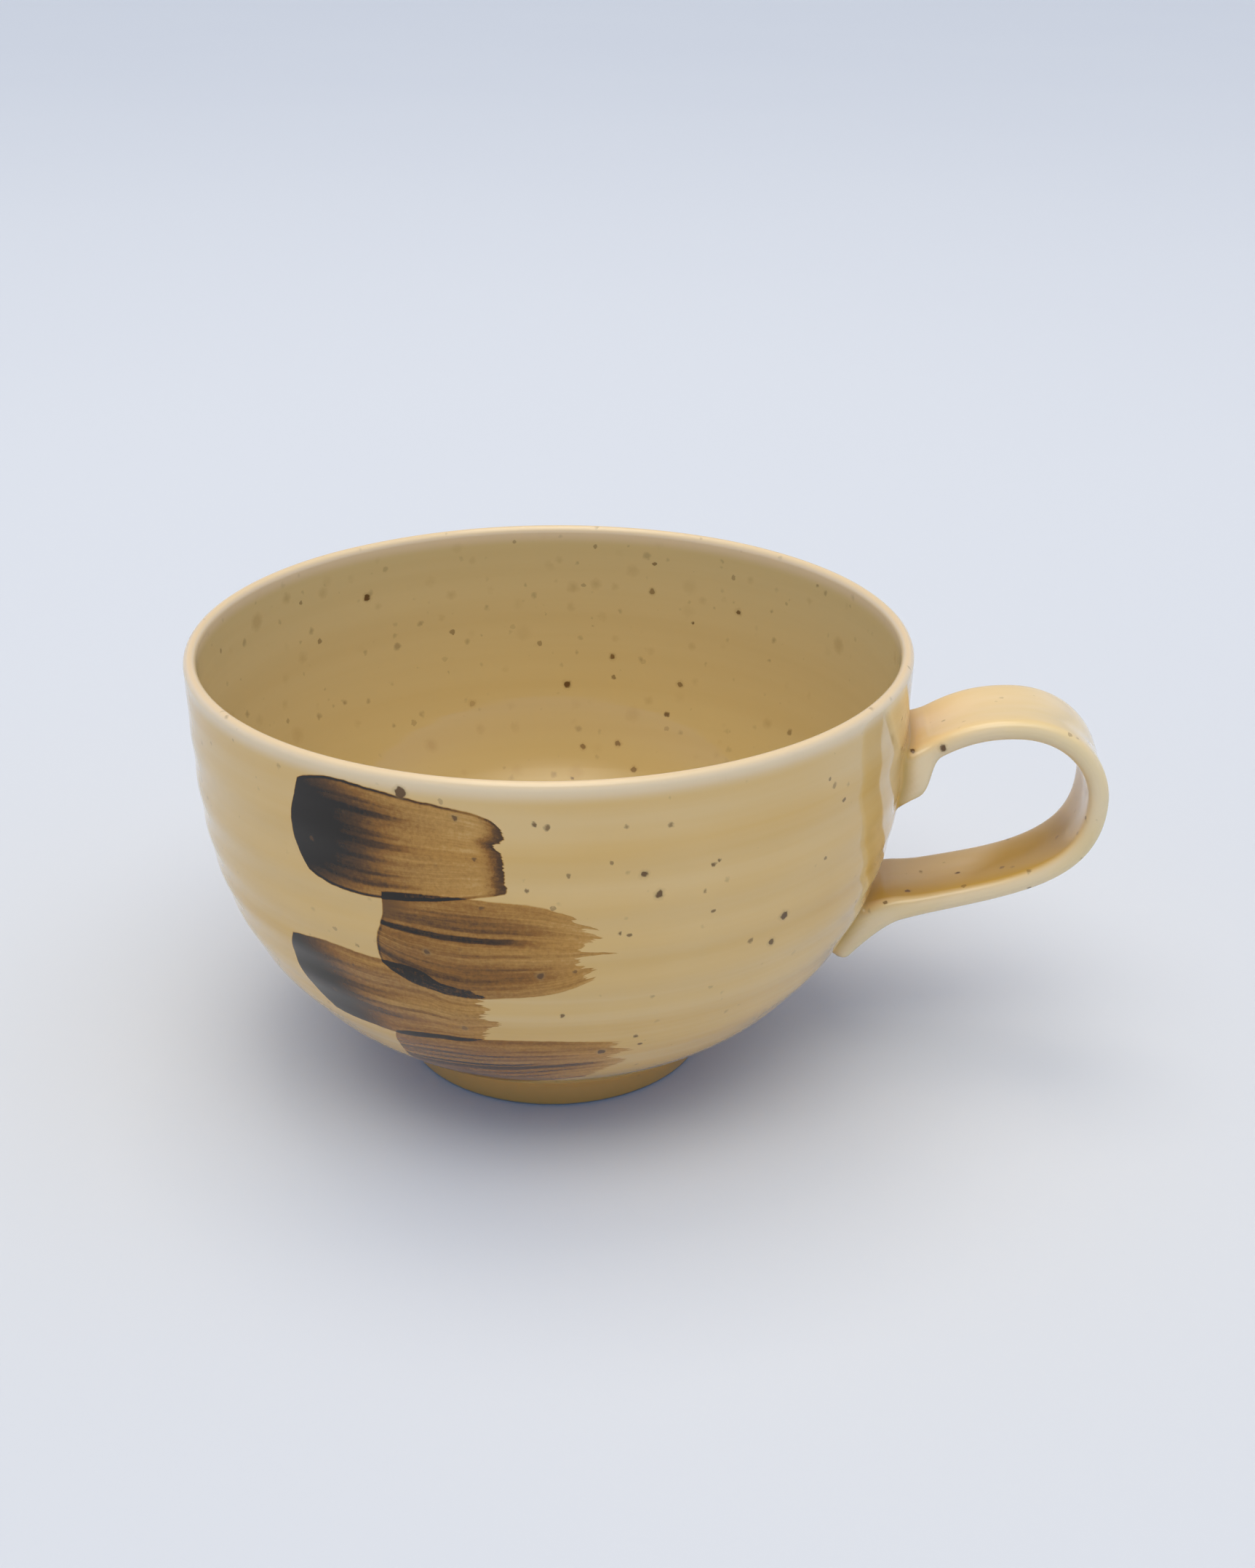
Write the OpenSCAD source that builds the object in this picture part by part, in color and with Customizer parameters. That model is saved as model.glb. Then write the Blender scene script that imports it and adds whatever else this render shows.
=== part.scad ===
// Wide thrown stoneware mug with a trimmed foot ring and a pulled strap handle.
// Millimetres. The bowl's axis is Z, the table is z = 0 and the handle points along +X.

/* [Bowl] */
// Outside diameter at the lip
rim_d = 115; // [100:1:130]
// Height from the table to the top of the lip
body_h = 72.3; // [66:0.1:84]
// Thickness of the lip at its roll
lip_t = 2.2; // [1.8:0.1:3.4]
// Half height of the lip's rounded edge
lip_round = 1.3; // [0.8:0.1:2]
// How far the lip leans out past the wall below it
lip_lean = 0.5; // [0:0.1:1.5]
// How much the outside of the wall holds its width before it turns in
belly_hold = 3.6; // [3.2:0.1:4.2]
// How full the outside is near the foot (smaller is leaner)
belly_full = 1.23; // [1.1:0.01:1.35]
// How much the inside holds its width before it turns in
inside_hold = 3; // [2.7:0.1:3.3]
// Clay between the inside and the recess under the foot, on the axis
floor_t = 6; // [4.5:0.5:8]
// Depth of the throwing rings on the outside
ring_depth = 0.1; // [0:0.02:0.3]
// Height from one throwing ring to the next
ring_pitch = 7.4; // [5:0.1:12]

/* [Foot] */
// Diameter of the foot ring where it stands
foot_d = 50.8; // [46:0.1:54]
// How much the foot ring draws in from the bowl to the table, on the radius
foot_draw = 0.9; // [0.2:0.1:1.4]
// Height of the foot ring
foot_h = 4.6; // [3.6:0.1:5.4]
// Width of the ring the mug stands on
foot_ring_w = 4.6; // [3:0.1:7]
// Depth of the recess inside the foot ring
recess_h = 2.6; // [1.5:0.1:3.2]
// Rounding of the foot's edges
foot_round = 0.7; // [0.3:0.1:1]

/* [Handle] */
// Width of the strap at the top
strap_w = 17.2; // [15:0.1:20]
// Width of the strap's lower arm
strap_low_w = 15.2; // [13:0.1:17]
// Thickness of the strap
strap_t = 3.4; // [3:0.1:4.5]
// Rounding of the strap's edges
strap_round = 1.1; // [0.6:0.1:1.4]
// Hollow along each face of the strap
strap_hollow = 0.3; // [0:0.05:0.5]
// How far the loop stands out beyond the lip
loop_out = 31.5; // [28:0.5:38]
// Drop from the lip to the highest point of the strap
loop_drop = 9.6; // [8:0.1:13]
// Distance from the bowl's side to the loop's highest point
loop_top_x = 16.5; // [14:0.5:19]
// Height of the loop's outermost point
loop_mid_z = 48.6; // [45:0.1:50]
// Drop from the lip to the middle of the upper end, on the wall
root_drop = 18.4; // [17:0.1:21]
// Height at which the lower arm reaches the wall
arm_z = 28.2; // [26:0.2:30]
// Height of the lower end of the tail on the wall
tail_z = 20.2; // [19:0.2:22]
// How much wider than the strap the ends are
root_spread = 2.6; // [0:0.2:5]
// Clay pressed down the wall below the upper end
root_press = 3.6; // [2.6:0.2:5]
// How much wider the lower arm grows towards the wall
arm_spread = 1.6; // [0:0.2:3]
// How much thicker the lower arm grows towards the wall
arm_press = 0.5; // [0:0.1:1.2]

/* [Hidden] */
clay = [0.80, 0.70, 0.50];
rim_r = rim_d / 2;
foot_r = foot_d / 2;
eps = 0.01;

// Outside of the bowl. The rule starts below the table, so that the curve is already wide at the foot.
belly_start = -4.65;
wall_r = rim_r - lip_lean;
lip_mid_z = body_h - lip_round;

function rise(z) = min(1, max(0, (z - belly_start) / (body_h - belly_start)));
function smooth01(x) = let (t = min(1, max(0, x))) t * t * (3 - 2 * t);
function belly_r(z) = wall_r * pow(1 - pow(1 - rise(z), belly_hold), 1 / belly_full);
// the rings fade out towards the lip and the foot
function ring_fade(z) = smooth01((z - foot_h - 3) / 8) * smooth01((body_h - 5 - z) / 8);
function ring_wave(z) = ring_depth * ring_fade(z) * sin(360 * z / ring_pitch + 55 * sin(9 * z));
function out_r(z) = belly_r(z) + lip_lean * pow(rise(z), 7) + ring_wave(z);

// Inside of the bowl, from the floor on the axis to the lip.
floor_z = recess_h + floor_t;
in_lip_r = out_r(lip_mid_z) - lip_t;
function in_share(z) = min(1, max(0, (z - floor_z) / (lip_mid_z - floor_z)));
function in_r(z) = in_lip_r * pow(1 - pow(1 - in_share(z), inside_hold), 0.5);

n_out = 34;
n_lip = 8;
n_in = 26;
junction_z = foot_h + 0.8;
out_pts = [for (i = [0:n_out]) let (z = junction_z + (lip_mid_z - junction_z) * i / n_out) [out_r(z), z]];
lip_c = (out_r(lip_mid_z) + in_lip_r) / 2;
lip_pts = [for (i = [1:n_lip - 1]) let (a = 180 * i / n_lip)
    [lip_c + lip_t / 2 * cos(a), lip_mid_z + lip_round * sin(a)]];
// closer together near the floor, where the curve is flat
in_pts = [for (i = [n_in:-1:1]) let (z = floor_z + (lip_mid_z - floor_z) * pow(i / n_in, 1.9)) [in_r(z), z]];

module bowl_solid() {
    // the bowl with its foot, solid, up to the middle of the lip's roll
    rotate_extrude($fn = 96)
        polygon(concat(
            [[0, 0], [foot_r - foot_round, 0], [foot_r - 0.2, 0.25 * foot_round], [foot_r, foot_round]],
            [[foot_r + foot_draw, foot_h - 0.4], [foot_r + foot_draw - 0.1, foot_h]],
            out_pts,
            lip_pts,
            [[in_lip_r, lip_mid_z], [0, lip_mid_z]]));
}

module inside_space() {
    // the space for the drink
    rotate_extrude($fn = 96)
        polygon(concat(
            [[0, body_h + 2], [in_lip_r, body_h + 2], [in_lip_r, lip_mid_z + eps]],
            in_pts,
            [[0, floor_z]]));
}

module foot_recess() {
    // turned out of the foot, with a soft shoulder
    r = foot_r - foot_ring_w;
    rotate_extrude($fn = 96)
        polygon([[0, -1], [r + foot_round, -1], [r + foot_round, 0], [r, foot_round],
            [r - 0.8, recess_h - 0.8], [r - 2, recess_h], [0, recess_h]]);
}

// Strap handle: one line through the middle of the clay, made of four curves that meet smoothly.
loop_x = rim_r + loop_out - strap_t / 2;
top_z = body_h - loop_drop - strap_t / 2;
top_x = rim_r + loop_top_x;
root_z = body_h - root_drop;
root_x = out_r(root_z) - 3;
arm_x = out_r(arm_z) + 6.5;
tail_x = out_r(tail_z) + 2;
rise_x = 6.5;
arm_slope = 0.27;

function bez(p, t) = pow(1 - t, 3) * p[0] + 3 * pow(1 - t, 2) * t * p[1] + 3 * (1 - t) * t * t * p[2] + pow(t, 3) * p[3];
drop_a = loop_mid_z - arm_z;
upper = [[root_x, root_z - 1.2], [root_x + rise_x, root_z + 2.3], [top_x - 9.8, top_z], [top_x, top_z]];
shoulder = [[top_x, top_z], [top_x + 8.2, top_z], [loop_x, loop_mid_z + 6.2], [loop_x, loop_mid_z]];
under = [[loop_x, loop_mid_z], [loop_x, loop_mid_z - 0.68 * drop_a],
    [arm_x + 17, arm_z + 0.1 + 17 * arm_slope], [arm_x, arm_z + 0.1]];
tail = [[arm_x, arm_z + 0.1], [arm_x - 3.4, arm_z + 0.1 - 3.4 * arm_slope],
    [tail_x + 1.8, tail_z + 2.5], [tail_x - 0.2, tail_z]];
parts = [upper, shoulder, under, tail];
steps = [13, 11, 16, 11];

line_pts = concat(
    [for (k = [0:3]) for (i = [0:steps[k] - 1]) bez(parts[k], i / steps[k])],
    [bez(tail, 1)]);
n_ring = len(line_pts);
function unit(v) = v / norm(v);
function along(i) = unit(line_pts[min(n_ring - 1, i + 1)] - line_pts[max(0, i - 1)]);
// travelled length from ring 0, and from the last ring
function run(i) = i <= 0 ? 0 : run(i - 1) + norm(line_pts[i] - line_pts[i - 1]);
runs = [for (i = [0:n_ring - 1]) run(i)];
total = runs[n_ring - 1];

// Section of the strap: half width, clay on the outer side and clay on the side towards the opening or wall.
root_len = 9;
tail_len = 18;
arm_len = 34;
near_root = [for (i = [0:n_ring - 1]) 1 - smooth01((runs[i] - 2.8) / (root_len - 2.8))];
near_tail = [for (i = [0:n_ring - 1]) 1 - smooth01((total - runs[i]) / tail_len)];
near_arm = [for (i = [0:n_ring - 1]) 1 - smooth01((total - runs[i]) / arm_len)];
blunt = [for (i = [0:n_ring - 1]) sqrt(max(0.12, 1 - pow(max(0, 1 - (total - runs[i]) / 1.8), 2)))];
// the strap narrows evenly from the top of the loop to the lower arm
slim = [for (i = [0:n_ring - 1]) smooth01((runs[i] / total - 0.28) / 0.4)];
half_w = [for (i = [0:n_ring - 1])
    (strap_w / 2 + (strap_low_w - strap_w) / 2 * slim[i]
        + root_spread / 2 * (near_root[i] + near_tail[i])
        + arm_spread / 2 * near_arm[i]) * (0.75 + 0.25 * blunt[i])];
outer_t = [for (i = [0:n_ring - 1]) strap_t / 2 * blunt[i] + 0.7 * near_root[i]];
inner_t = [for (i = [0:n_ring - 1])
    strap_t / 2 + root_press * near_root[i] + arm_press * near_arm[i] + 2.4 * near_tail[i]];
// one corner is an arc of n_arc steps, one face has n_face points between its corners
n_arc = 4;
n_face = 3;
n_sec = 4 * (n_arc + 1) + 2 * n_face;
// corner k of 4, counted from the +Y side of the outer face; c is the share of its arc
function corner_pt(i, k, c) =
    let (
        r = min(strap_round, 0.9 * outer_t[i]),
        a = 90 * (k + c),
        sy = k == 0 || k == 3 ? 1 : -1,
        t = k < 2 ? outer_t[i] - r : r - inner_t[i]
    )
    [sy * (half_w[i] - r) + r * cos(a), t + r * sin(a)];
function face_pt(i, side, c) =
    let (
        flat = half_w[i] - strap_round,
        dip = strap_hollow * (1 - near_root[i]) * (1 - near_tail[i]) * pow(sin(180 * c), 2)
    )
    side > 0 ? [flat * (1 - 2 * c), outer_t[i] - dip] : [flat * (2 * c - 1), dip - inner_t[i]];
function section(i) = concat(
    [for (m = [0:n_arc]) corner_pt(i, 0, m / n_arc)],
    [for (m = [1:n_face]) face_pt(i, 1, m / (n_face + 1))],
    [for (k = [1:2]) for (m = [0:n_arc]) corner_pt(i, k, m / n_arc)],
    [for (m = [1:n_face]) face_pt(i, -1, m / (n_face + 1))],
    [for (m = [0:n_arc]) corner_pt(i, 3, m / n_arc)]);
function placed(i, p) = let (d = along(i)) [line_pts[i][0] - d[1] * p[1], p[0], line_pts[i][1] + d[0] * p[1]];

module strap() {
    pts = [for (i = [0:n_ring - 1]) each [for (p = section(i)) placed(i, p)]];
    sides = [for (i = [0:n_ring - 2]) for (j = [0:n_sec - 1])
        let (a = i * n_sec + j, b = i * n_sec + (j + 1) % n_sec)
        each [[b, a, b + n_sec], [b + n_sec, a, a + n_sec]]];
    first = [for (j = [0:n_sec - 1]) j];
    last = [for (j = [n_sec - 1:-1:0]) (n_ring - 1) * n_sec + j];
    polyhedron(points = pts, faces = concat(sides, [first], [last]), convexity = 8);
}

module mug() {
    color(clay)
        difference() {
            union() {
                bowl_solid();
                strap();
            }
            inside_space();
            foot_recess();
        }
}

mug();
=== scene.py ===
"""Stoneware mug: thrown bowl, pulled strap handle, glossy cream glaze, iron specks, four brush swipes."""
import math
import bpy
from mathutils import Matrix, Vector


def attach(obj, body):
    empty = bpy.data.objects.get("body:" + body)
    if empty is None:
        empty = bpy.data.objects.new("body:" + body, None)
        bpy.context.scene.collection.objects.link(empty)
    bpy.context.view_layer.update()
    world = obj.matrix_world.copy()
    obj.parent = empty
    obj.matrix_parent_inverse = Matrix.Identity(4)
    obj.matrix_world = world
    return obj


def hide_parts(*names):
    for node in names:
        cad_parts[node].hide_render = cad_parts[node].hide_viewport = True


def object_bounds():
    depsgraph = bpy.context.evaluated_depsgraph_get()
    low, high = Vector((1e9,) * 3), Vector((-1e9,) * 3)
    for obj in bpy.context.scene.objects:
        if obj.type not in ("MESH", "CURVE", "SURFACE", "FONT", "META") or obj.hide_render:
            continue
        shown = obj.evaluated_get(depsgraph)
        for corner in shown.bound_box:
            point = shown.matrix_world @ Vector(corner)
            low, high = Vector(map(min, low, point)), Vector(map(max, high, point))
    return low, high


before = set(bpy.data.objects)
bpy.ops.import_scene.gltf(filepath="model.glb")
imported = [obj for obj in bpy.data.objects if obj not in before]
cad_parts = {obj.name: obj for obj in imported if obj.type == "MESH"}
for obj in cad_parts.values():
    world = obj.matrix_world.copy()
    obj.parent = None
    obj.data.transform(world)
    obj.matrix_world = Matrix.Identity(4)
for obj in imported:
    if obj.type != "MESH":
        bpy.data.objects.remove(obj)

from types import SimpleNamespace

import bmesh
import bpy
import numpy as np
from mathutils import Matrix, Vector, noise

cad_lo, cad_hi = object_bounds()
MM = 0.001
TURN = 2 * math.pi

# Sizes in millimetres, as in the part's source. Only the strap's edges are rounder here.
SIZES = dict(
    rim_r=57.5, body_h=72.3, lip_t=2.2, lip_round=1.3, lip_lean=0.5,
    belly_hold=3.6, belly_full=1.23, belly_start=-4.65, inside_hold=3.0, floor_z=8.6,
    ring_depth=0.1, ring_pitch=7.4,
    foot_r=25.4, foot_draw=0.9, foot_h=4.6, foot_round=0.7, ring_in=20.8, recess_h=2.6,
    strap_w=17.2, strap_low_w=15.2, strap_t=3.4, strap_round=1.5, strap_hollow=0.3,
    root_spread=2.6, root_press=3.6, arm_spread=1.6, arm_press=0.5,
)
S = SimpleNamespace(**SIZES)

# Where the handle's line runs, as in the source
LOOP_OUT, LOOP_DROP, LOOP_TOP_X, LOOP_MID_Z = 31.5, 9.6, 16.5, 48.6
ROOT_DROP, ARM_Z, TAIL_Z, ARM_SLOPE, LINE_LIFT = 18.4, 28.2, 20.2, 0.27, 0.1
# How the strap changes near its ends: lengths along it, and clay added to a face
ROOT_START, ROOT_FADE, TAIL_LEN, ARM_LEN, TIP_LEN = 2.8, 6.2, 18, 34, 1.8
ROOT_OUTER, TAIL_INNER = 0.7, 2.4
# It narrows between these shares of its length
SLIM_START, SLIM_SHARE = 0.28, 0.4
# The throwing rings fade out near the lip and the foot, and their spacing drifts
RING_FADE, RING_OFF_FOOT, RING_OFF_LIP = 8, 3, 5
RING_DRIFT, DRIFT_STEP = 0.96, 9 * math.pi / 180
# The foot's side flares over this height and meets the wall in a hollow. The recess has a soft shoulder.
FOOT_FLARE, FOOT_JOIN, RECESS_SHOULDER = 3.5, 0.5, 2
# Reach of the softened joint between wall and strap, and how far under the wall's skin the strap ends
JOIN_REACH, BURIED = 1.9, 1.2
WELD = 0.002  # points closer than this become one

# Columns and rows of the grids, and how they crowd where the shape bends most
AROUND, UP_OUTSIDE, UP_LIP, UP_INSIDE, ACROSS_FOOT = 245, 150, 17, 70, 46
STRAP_AROUND, STRAP_ALONG = 61, 170
CROWD_AROUND, CROWD_STRAP, CROWD_FOOT, CROWD_FLOOR = 0.62, 0.3, 0.35, 1.9


# ---------------------------------------------------------------- sums on sockets
class Val:
    """A node's output. Sums on it add Math nodes to its tree."""

    def __init__(self, maker, socket):
        self.maker, self.socket = maker, socket

    def math(self, operation, *others, flip=False):
        args = [*others, self] if flip else [self, *others]
        return self.maker.add("ShaderNodeMath", {"operation": operation}, dict(enumerate(args)))

    def out(self, name):
        return Val(self.maker, self.socket.node.outputs[name])

    def __add__(self, o): return self.math("ADD", o)
    def __radd__(self, o): return self.math("ADD", o)
    def __sub__(self, o): return self.math("SUBTRACT", o)
    def __rsub__(self, o): return self.math("SUBTRACT", o, flip=True)
    def __mul__(self, o): return self.math("MULTIPLY", o)
    def __rmul__(self, o): return self.math("MULTIPLY", o)
    def __truediv__(self, o): return self.math("DIVIDE", o)
    def __rtruediv__(self, o): return self.math("DIVIDE", o, flip=True)
    def __pow__(self, o): return self.math("POWER", o)
    def __neg__(self): return self.math("MULTIPLY", -1.0)


class Maker:
    """Adds nodes to one tree. Of the settings, "stops" fill a colour ramp and "bend" shapes a curve."""

    def __init__(self, tree):
        self.tree = tree

    def add(self, kind, settings=None, inputs=None, out=0):
        node = self.tree.nodes.new(kind)
        for name, value in (settings or {}).items():
            if name == "stops":
                ramp = node.color_ramp.elements
                for k, (at, colour) in enumerate(value):
                    stop = ramp[k] if k < 2 else ramp.new(at)
                    stop.position, stop.color = at, (*colour, 1)
            elif name == "bend":
                line = node.mapping.curves[0].points
                for k, at in enumerate([value[0], value[-1], *value[1:-1]]):
                    if k < 2:
                        line[k].location = at
                    else:
                        line.new(*at)
                for point in line:
                    point.handle_type = "AUTO_CLAMPED"
                node.mapping.update()
            else:
                setattr(node, name, value)
        for name, value in (inputs or {}).items():
            for one in value if isinstance(value, list) else [value]:
                if isinstance(one, Val):
                    self.tree.links.new(one.socket, node.inputs[name])
                else:
                    node.inputs[name].default_value = one
        return Val(self, node.outputs[out]) if len(node.outputs) else node

    def vector(self, operation, *args, out=0):
        return self.add("ShaderNodeVectorMath", {"operation": operation}, dict(enumerate(args)), out)

    def scaled(self, v, by):
        return self.add("ShaderNodeVectorMath", {"operation": "SCALE"}, {0: v, "Scale": by})

    def xyz(self, x, y, z):
        return self.add("ShaderNodeCombineXYZ", None, {0: x, 1: y, 2: z})

    def parts(self, v):
        node = self.add("ShaderNodeSeparateXYZ", None, {0: v})
        return node, node.out("Y"), node.out("Z")

    def mix(self, share, a, b, blend="MIX"):
        return self.add("ShaderNodeMix", {"data_type": "RGBA", "blend_type": blend, "clamp_factor": True},
                        {0: share, 6: a, 7: b}, 2)


# The same rule serves the node trees and the arrays of points
def low(a, b):
    if isinstance(a, Val):
        return a.math("MINIMUM", b)
    return b.math("MINIMUM", a) if isinstance(b, Val) else np.minimum(a, b)


def high(a, b):
    if isinstance(a, Val):
        return a.math("MAXIMUM", b)
    return b.math("MAXIMUM", a) if isinstance(b, Val) else np.maximum(a, b)


def sine(a): return a.math("SINE") if isinstance(a, Val) else np.sin(a)
def cosine(a): return a.math("COSINE") if isinstance(a, Val) else np.cos(a)
def root(a): return a.math("SQRT") if isinstance(a, Val) else np.sqrt(a)
def size_of(a): return a.math("ABSOLUTE") if isinstance(a, Val) else np.abs(a)
def clamp01(a):
    return a.maker.add("ShaderNodeClamp", None, {"Value": a}) if isinstance(a, Val) else np.clip(a, 0.0, 1.0)


def smooth01(a):
    if isinstance(a, Val):
        return ramp01(a, 0.0, 1.0)
    t = np.clip(a, 0.0, 1.0)
    return t * t * (3 - 2 * t)


def ramp01(value, start, end):
    """Rises smoothly from 0 to 1 between two values of a socket."""
    return value.maker.add("ShaderNodeMapRange", {"interpolation_type": "SMOOTHSTEP"},
                           {"Value": value, "From Min": start, "From Max": end})


def soft_high(a, b, reach):
    """The higher of two, rounded where they cross."""
    h = high(reach - size_of(a - b), 0.0) / reach
    return high(a, b) + h * h * (reach / 4)


def rise(z, s): return clamp01((z - s.belly_start) / (s.body_h - s.belly_start))


def wall_r(z, s):
    """Radius of the outside at a height."""
    t = rise(z, s)
    belly = (s.rim_r - s.lip_lean) * (1 - (1 - t) ** s.belly_hold) ** (1 / s.belly_full)
    above_foot, below_lip = z - s.foot_h - RING_OFF_FOOT, s.body_h - RING_OFF_LIP - z
    fade = smooth01(above_foot / RING_FADE) * smooth01(below_lip / RING_FADE)
    wave = s.ring_depth * fade * sine(z * TURN / s.ring_pitch + RING_DRIFT * sine(z * DRIFT_STEP))
    return belly + s.lip_lean * t ** 7 + wave


def foot_side_r(z, s):
    corner = clamp01(1 - z / s.foot_round)
    flare = s.foot_draw * clamp01((z - s.foot_round) / FOOT_FLARE)
    return s.foot_r + flare - s.foot_round * (1 - root(1 - corner * corner * 0.9999))


def outside_r(z, s): return soft_high(foot_side_r(z, s), wall_r(z, s), FOOT_JOIN)


def inside_r(z, s):
    lip_mid = s.body_h - s.lip_round
    share = clamp01((z - s.floor_z) / (lip_mid - s.floor_z))
    return (wall_r(lip_mid, s) - s.lip_t) * root(clamp01(1 - (1 - share) ** s.inside_hold))


# ---------------------------------------------------------------- the handle's line
def handle_line():
    """Points and handles of the line through the middle of the strap, in the XZ plane."""
    loop_x, mid_z = S.rim_r + LOOP_OUT - S.strap_t / 2, LOOP_MID_Z
    top_x, top_z = S.rim_r + LOOP_TOP_X, S.body_h - LOOP_DROP - S.strap_t / 2
    root_z, tail_z, slope = S.body_h - ROOT_DROP, TAIL_Z, ARM_SLOPE
    root_x, arm_x, tail_x = wall_r(root_z, S) - 3, wall_r(ARM_Z, S) + 6.5, wall_r(tail_z, S) + 2
    drop = mid_z - ARM_Z
    arm_z = ARM_Z + LINE_LIFT
    # (before, at, after) of each point
    return [((root_x - 2, root_z - 2.3), (root_x, root_z - 1.2), (root_x + 6.5, root_z + 2.3)),
            ((top_x - 9.8, top_z), (top_x, top_z), (top_x + 8.2, top_z)),
            ((loop_x, mid_z + 6.2), (loop_x, mid_z), (loop_x, mid_z - 0.68 * drop)),
            ((arm_x + 17, arm_z + 17 * slope), (arm_x, arm_z), (arm_x - 3.4, arm_z - 3.4 * slope)),
            ((tail_x + 1.8, tail_z + 2.5), (tail_x - 0.2, tail_z), (tail_x - 1, tail_z - 1))]


def strap_section(run, total, s):
    """Half width, clay on the outer and the inner side, corner and hollow at a length along the strap."""
    near_root = 1 - smooth01((run - ROOT_START) / ROOT_FADE)
    near_tail = 1 - smooth01((total - run) / TAIL_LEN)
    near_arm = 1 - smooth01((total - run) / ARM_LEN)
    tip = high(1 - (total - run) / TIP_LEN, 0.0)
    blunt = root(high(1 - tip * tip, 0.12))
    slim = smooth01((run / total - SLIM_START) / SLIM_SHARE)
    half = (s.strap_w / 2 + (s.strap_low_w - s.strap_w) / 2 * slim
            + s.root_spread / 2 * (near_root + near_tail)
            + s.arm_spread / 2 * near_arm) * (0.75 + 0.25 * blunt)
    outer = s.strap_t / 2 * blunt + ROOT_OUTER * near_root
    inner = s.strap_t / 2 + s.root_press * near_root + s.arm_press * near_arm + TAIL_INNER * near_tail
    hollow = s.strap_hollow * (1 - near_root) * (1 - near_tail)
    return half, outer, inner, low(s.strap_round, outer * 0.9), hollow


def make_line_object():
    data = bpy.data.curves.new("handle_line", "CURVE")
    data.dimensions, data.resolution_u = "3D", 96
    spline = data.splines.new("BEZIER")
    pts = handle_line()
    spline.bezier_points.add(len(pts) - 1)
    for bp, (before, at, after) in zip(spline.bezier_points, pts):
        bp.handle_left_type = bp.handle_right_type = "FREE"
        bp.handle_left, bp.co, bp.handle_right = ((p[0], 0, p[1]) for p in (before, at, after))
    obj = bpy.data.objects.new("handle_line", data)
    bpy.context.scene.collection.objects.link(obj)
    return obj


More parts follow.
